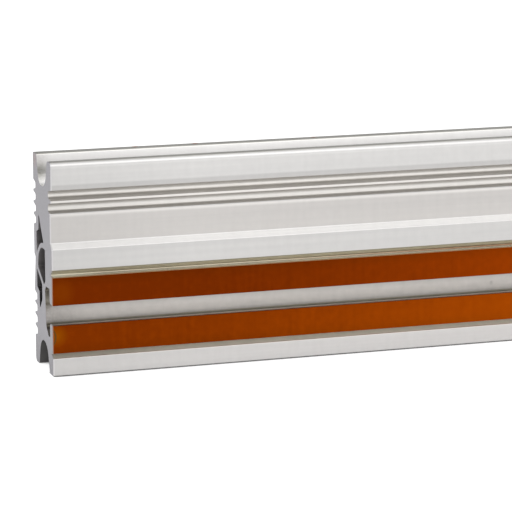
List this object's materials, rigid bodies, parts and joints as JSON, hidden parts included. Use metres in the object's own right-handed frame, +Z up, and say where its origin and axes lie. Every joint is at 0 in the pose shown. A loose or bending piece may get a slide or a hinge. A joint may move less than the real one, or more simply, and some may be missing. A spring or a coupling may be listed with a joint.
{
  "type": "bus bar",
  "caption": "Straight hollow aluminium bus bar profile standing on edge, with copper contact strips on its front beside a T-slot for bolting on connections.",
  "frame": {"origin": "on the floor under the middle of the bar", "axes": "+X along the bar, -Y out of the front with the contact strips, +Z up"},
  "size_m": [1.67, 0.0414, 0.12],
  "materials": {
    "aluminium": "satin anodised extrusion with saw-cut ends",
    "copper": "satin copper, oxidised to a deep orange brown"
  },
  "bodies": {
    "root": {"aluminium_profile": "aluminium", "upper_contact_strip": "copper", "lower_contact_strip": "copper"}
  },
  "joints": []
}
